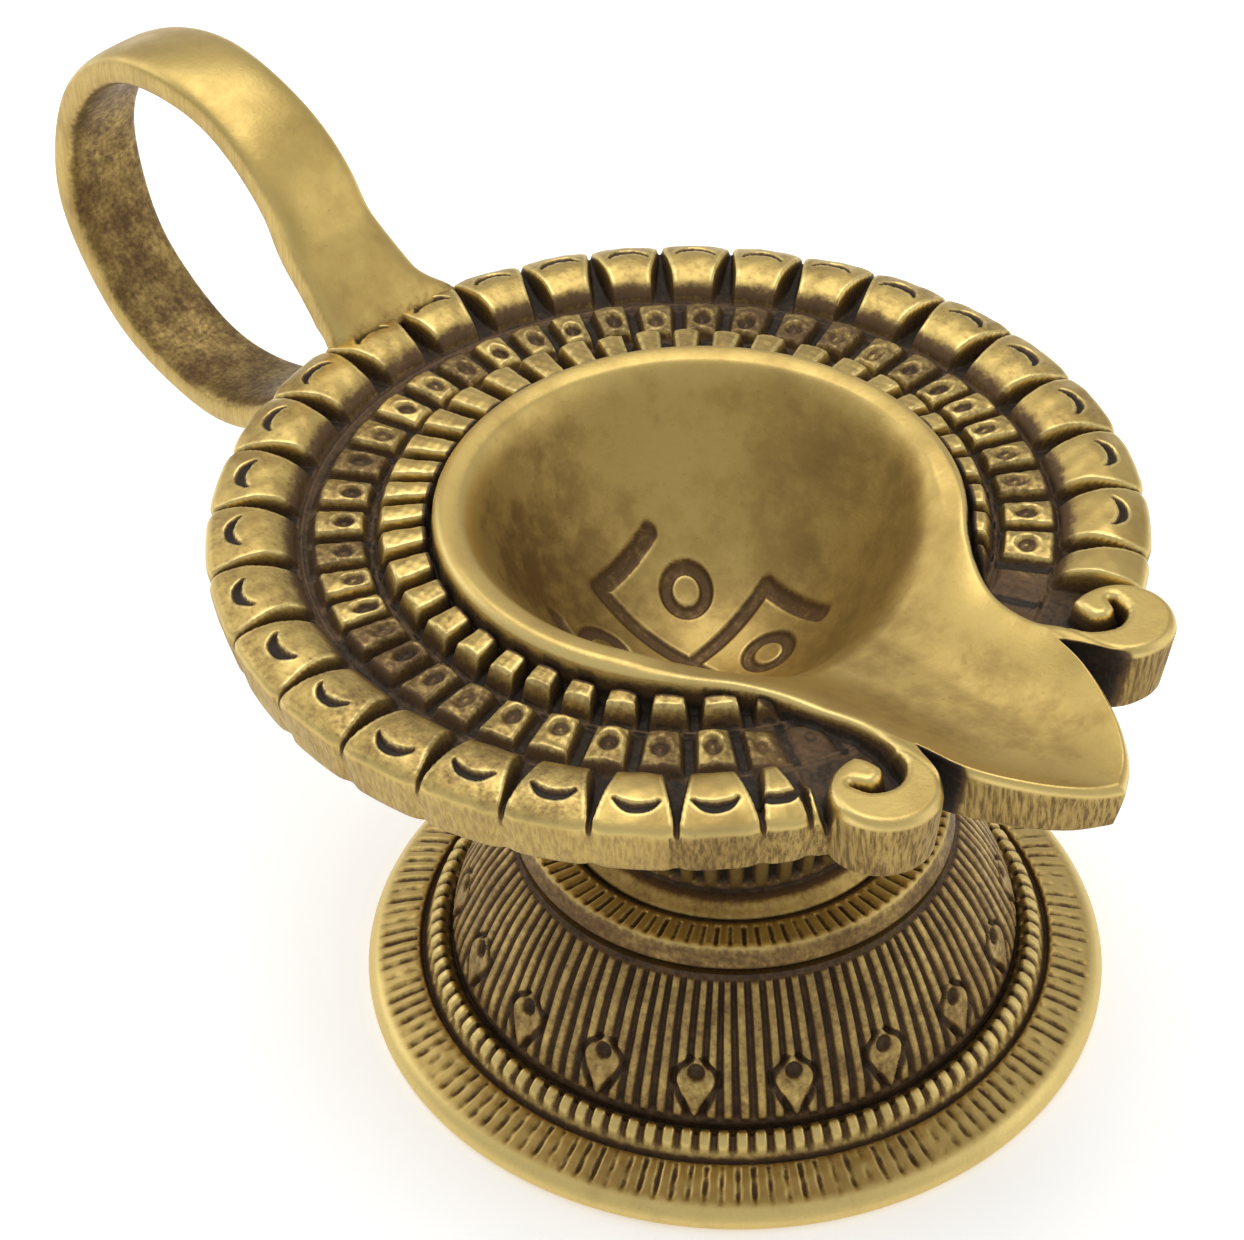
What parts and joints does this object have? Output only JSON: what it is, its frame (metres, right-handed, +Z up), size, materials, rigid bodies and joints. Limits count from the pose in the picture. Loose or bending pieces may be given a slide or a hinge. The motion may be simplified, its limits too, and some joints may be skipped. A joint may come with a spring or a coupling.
{
  "type": "diya oil lamp",
  "caption": "Hand-held brass oil lamp: round spouted bowl with a knuckled flange and scrolls, a flat finger loop behind and a fluted bell foot.",
  "frame": {"origin": "centre of the foot's resting face, on the foot's axis", "axes": "+Z up along the foot's axis, +X towards the tip of the spout, finger loop on the -X side"},
  "size_m": [0.1348, 0.0826, 0.0687],
  "materials": {
    "pan_brass": "cast, polished highs with dark patina in the recesses",
    "loop_brass": "filed and hand polished",
    "neck_brass": "cast, dulled, dark in the flutes",
    "foot_brass": "cast, dulled olive with dark lines",
    "stud_brass": "turned",
    "fixing_steel": "plain, dulled"
  },
  "bodies": {
    "root": {"pan": "pan_brass", "handle_loop": "loop_brass", "calyx": "neck_brass", "neck_collar": "neck_brass", "foot": "foot_brass", "tie_stud": "stud_brass", "foot_washer": "fixing_steel", "foot_nut": "fixing_steel"}
  },
  "joints": []
}
